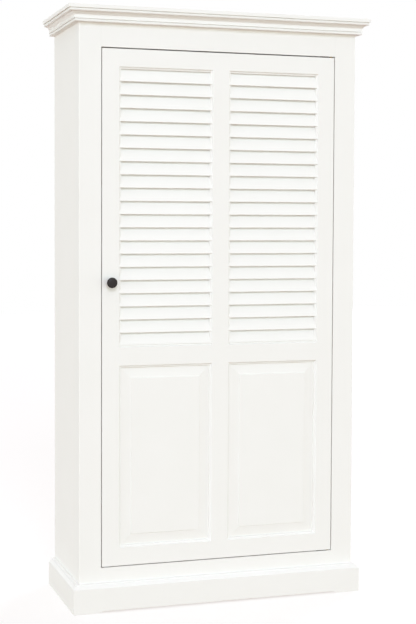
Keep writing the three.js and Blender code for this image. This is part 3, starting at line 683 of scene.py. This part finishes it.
# What the surroundings shed, by how far up a direction points: from -1, straight down, to 1, straight up
SURROUND_STRENGTH = 2.0
SURROUND = [(-1, (0, 0, 0)), (-0.3, (0.42, 0.266, 0.194)), (0, (0.79, 0.978, 0.921)),
            (0.2, (0.583, 0.65, 0.659)), (0.5, (0, 0, 0)), (1, (0.655, 0.56, 0.54))]
PICTURE_HEIGHT = 624


def add_seen(tree):
    """One for the camera and for what metal and glass reflect or let through, nought for any other light."""
    rays = add(tree, "ShaderNodeLightPath")
    mirrored = add(tree, "ShaderNodeMath", {"operation": "MAXIMUM"}, i0=rays.outputs["Is Glossy Ray"],
                   i1=rays.outputs["Is Transmission Ray"])
    return add(tree, "ShaderNodeMath", {"operation": "MAXIMUM"}, i0=rays.outputs["Is Camera Ray"],
               i1=mirrored.outputs[0]).outputs[0]


def add_stage():
    """A pale floor, white where it is seen or mirrored, that keeps the cabinet's shadow."""
    bm = bmesh.new()
    bmesh.ops.create_grid(bm, x_segments=1, y_segments=1, size=FLOOR_HALF)
    mesh = to_mesh("studio_floor", bm)
    floor = to_scene("studio_floor", mesh)
    finish = bpy.data.materials.new("white_paper_floor")
    finish.use_nodes = True
    tree = finish.node_tree
    tree.nodes.clear()
    paper = add(tree, "ShaderNodeBsdfDiffuse", {"Color": shade("#B6B6B4")})
    glow = add(tree, "ShaderNodeEmission", {"Color": shade("#FFFFFF"), "Strength": 0.58})
    lit = add(tree, "ShaderNodeAddShader", None, i0=paper.outputs[0], i1=glow.outputs[0])
    seen = add_seen(tree)
    shown = add(tree, "ShaderNodeMixShader", None, i0=seen, i1=paper.outputs[0], i2=lit.outputs[0])
    add(tree, "ShaderNodeOutputMaterial", None, Surface=shown.outputs[0])
    mesh.materials.append(finish)
    floor.visible_diffuse = False
    floor.visible_shadow = False


def add_world():
    """White where it is seen or mirrored. Its light is pale from the sides and from above, and warm from
    below, which leaves the undersides of the mouldings tan."""
    world = bpy.data.worlds.new("white_studio")
    bpy.context.scene.world = world
    world.use_nodes = True
    tree = world.node_tree
    tree.nodes.clear()
    direction = add(tree, "ShaderNodeTexCoord").outputs["Generated"]
    height = add(tree, "ShaderNodeSeparateXYZ", None, i0=direction).outputs[2]
    level = add(tree, "ShaderNodeMapRange", {"From Min": -1.0}, Value=height)
    around = add(tree, "ShaderNodeValToRGB", None, i0=level.outputs[0])
    stops = around.color_ramp.elements
    stops[1].position = 0
    while len(stops) < len(SURROUND):
        stops.new(0.5)
    for stop, (rise, tone) in zip(stops, SURROUND):
        stop.position = (rise + 1) / 2
        stop.color = (*tone, 1)
    seen = add_seen(tree)
    ambient = add(tree, "ShaderNodeBackground", {"Strength": SURROUND_STRENGTH},
                  Color=around.outputs[0])
    white = add(tree, "ShaderNodeBackground", {"Color": shade("#FFFFFF"), "Strength": 1.0})
    shown = add(tree, "ShaderNodeMixShader", None, i0=seen, i1=ambient.outputs[0], i2=white.outputs[0])
    add(tree, "ShaderNodeOutputWorld", None, Surface=shown.outputs[0])


def add_lamp(name, place, power, tint):
    """A square softbox turned to the middle of the cabinet."""
    lamp = bpy.data.lights.new(name, "AREA")
    lamp.shape = "RECTANGLE"
    lamp.size = lamp.size_y = LAMP_SIZE
    lamp.energy = power
    lamp.color = tint
    holder = to_scene(name, lamp)
    holder.location = place
    holder.rotation_euler = (LAMP_AIM - Vector(place)).to_track_quat("-Z", "Y").to_euler()


def add_camera():
    """Left of the cabinet and above its middle, turned a little down. The shift keeps the whole height in."""
    eye = bpy.data.cameras.new("camera")
    eye.sensor_width = 36
    eye.lens = 78.477
    eye.shift_y = -32 / PICTURE_HEIGHT
    eye.clip_end = 60
    camera = to_scene("camera", eye)
    yaw, pitch, roll = 0.3163, -0.0444, 0.004
    turn = (Matrix.Rotation(-yaw, 4, "Z") @ Matrix.Rotation(math.pi / 2 + pitch, 4, "X")
            @ Matrix.Rotation(roll, 4, "Z"))
    camera.matrix_world = Matrix.Translation((-1.47387, -4.54175, 1.30577)) @ turn
    bpy.context.scene.camera = camera


add_stage()
add_world()
add_lamp("key_softbox", (-4.0, -18.6, 12.0), 1610, (0.765, 0.831, 1.0))
add_lamp("side_softbox", (-21.6, -3.8, 2.9), 570, (0.69, 0.772, 1.0))
add_lamp("rear_softbox", (15, 15, 7), 1830, (0.75, 0.82, 1.0))
add_camera()
bpy.context.scene.view_settings.view_transform = "Standard"
